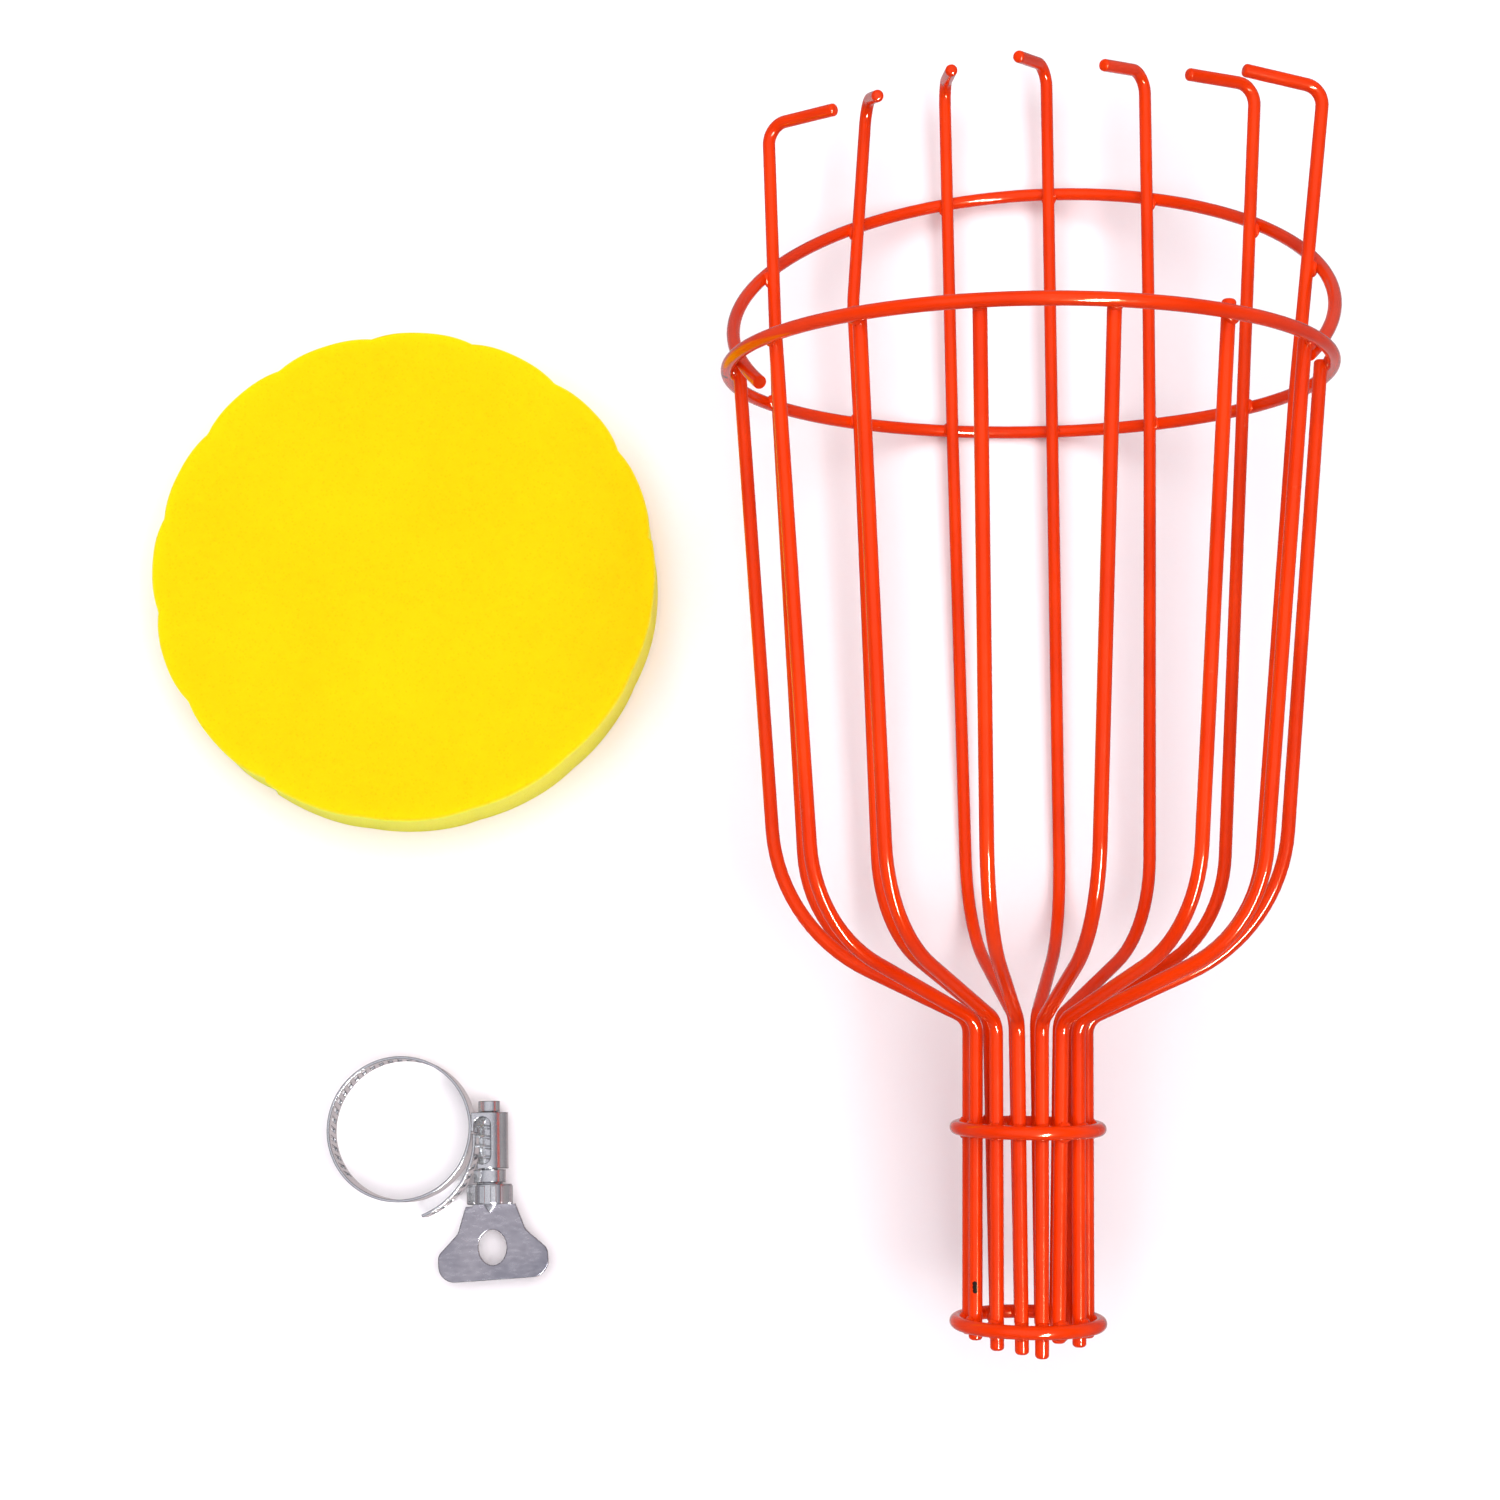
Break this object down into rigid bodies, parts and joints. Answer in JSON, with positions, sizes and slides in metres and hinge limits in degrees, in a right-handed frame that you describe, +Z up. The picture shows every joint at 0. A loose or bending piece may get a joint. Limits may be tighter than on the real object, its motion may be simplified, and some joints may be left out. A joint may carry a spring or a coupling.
{
  "type": "fruit picker basket",
  "caption": "Orange wire picking basket with bent fingers at its mouth and a pole socket of parallel wires, laid out with its round foam cushion and worm-drive clamp.",
  "frame": {"origin": "centre of the kit's bounding box at table level", "axes": "+Z up, +Y toward the basket's open mouth, +X to the right seen from the socket end"},
  "size_m": [0.304, 0.3483, 0.1494],
  "materials": {
    "orange_coat": "gloss powder coat",
    "yellow_foam": "fine open-cell foam",
    "zinc_steel": "bright zinc",
    "key_steel": "dull zinc"
  },
  "bodies": {
    "basket": {"finger_wire_1": "orange_coat", "finger_wire_2": "orange_coat", "finger_wire_3": "orange_coat", "finger_wire_4": "orange_coat", "finger_wire_5": "orange_coat", "finger_wire_6": "orange_coat", "finger_wire_7": "orange_coat", "short_wire_1": "orange_coat", "short_wire_2": "orange_coat", "short_wire_3": "orange_coat", "short_wire_4": "orange_coat", "short_wire_5": "orange_coat", "short_wire_6": "orange_coat", "short_wire_7": "orange_coat", "short_wire_8": "orange_coat", "rim_ring": "orange_coat", "neck_ring": "orange_coat", "socket_ring": "orange_coat", "finger_hoop": "orange_coat"},
    "foam": {"foam_pad": "yellow_foam"},
    "clamp": {"clamp_band": "zinc_steel", "clamp_housing": "zinc_steel"},
    "screw": {"clamp_screw": "zinc_steel", "clamp_key": "key_steel"},
    "tail": {"clamp_tail": "zinc_steel"}
  },
  "joints": [
    {"name": "foam_lift", "type": "slide", "parent": "basket", "child": "foam", "axis": [0, 0, 1], "range_m": [0, 0.12]},
    {"name": "clamp_lift", "type": "slide", "parent": "basket", "child": "clamp", "axis": [0, 0, 1], "range_m": [0, 0.12]},
    {"name": "screw_turn", "type": "hinge", "parent": "clamp", "child": "screw", "pos_m": [-0.061, -0.1194, 0.006], "axis": [-0.0262, 0.9997, 0], "range_deg": [0, 720]},
    {"name": "tail_feed", "type": "hinge", "parent": "clamp", "child": "tail", "pos_m": [-0.08474, -0.1224, 0.006], "axis": [0, 0, -1], "range_deg": [0, 14.5]}
  ],
  "couplings": [
    {"joint": "tail_feed", "follows": "screw_turn", "ratio": 0.019855}
  ]
}
